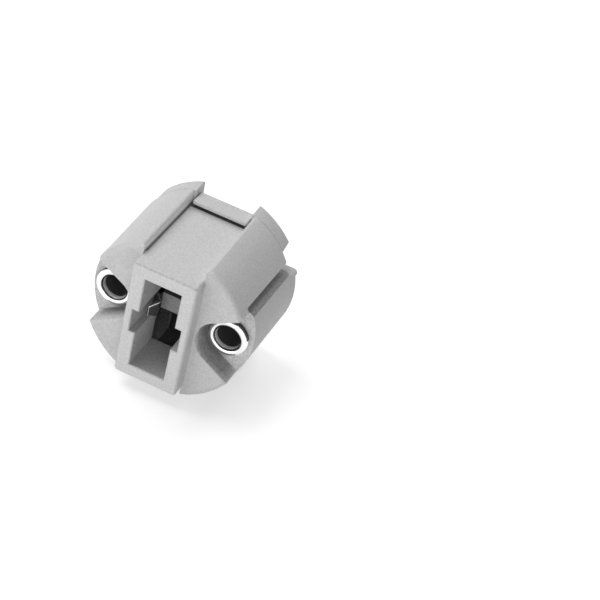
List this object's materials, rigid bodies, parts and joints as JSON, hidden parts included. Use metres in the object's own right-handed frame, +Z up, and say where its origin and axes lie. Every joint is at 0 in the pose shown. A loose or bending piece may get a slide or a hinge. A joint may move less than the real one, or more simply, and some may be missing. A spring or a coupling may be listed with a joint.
{
  "type": "lamp holder",
  "caption": "Push-in lamp holder: drum-shaped moulding with a slotted lamp tower, leaf retaining springs, tubular fixing eyelets and a hooked back cover with push-in wire entries.",
  "frame": {"origin": "centre of the bounding box's bottom face, below the drum axis", "axes": "+X towards the right eyelet as the lamp sees it, +Y from the lamp side to the wiring side, +Z up along the lamp slot's long side"},
  "size_m": [0.026, 0.0208, 0.0244],
  "materials": {
    "moulding": "matt, light grey",
    "cover_moulding": "matt, light grey",
    "eyelet_metal": "nickel plated, bright",
    "contact_metal": "nickel plated strip",
    "spring_steel": "spring steel strip"
  },
  "bodies": {
    "root": {"housing": "moulding", "back_cover": "cover_moulding", "eyelet_left": "eyelet_metal", "eyelet_right": "eyelet_metal", "contact_upper": "contact_metal", "contact_lower": "contact_metal", "clamp_upper_left": "spring_steel", "clamp_upper_right": "spring_steel", "clamp_lower_left": "spring_steel", "clamp_lower_right": "spring_steel", "retaining_spring_left": "spring_steel", "retaining_spring_right": "spring_steel"}
  },
  "joints": []
}
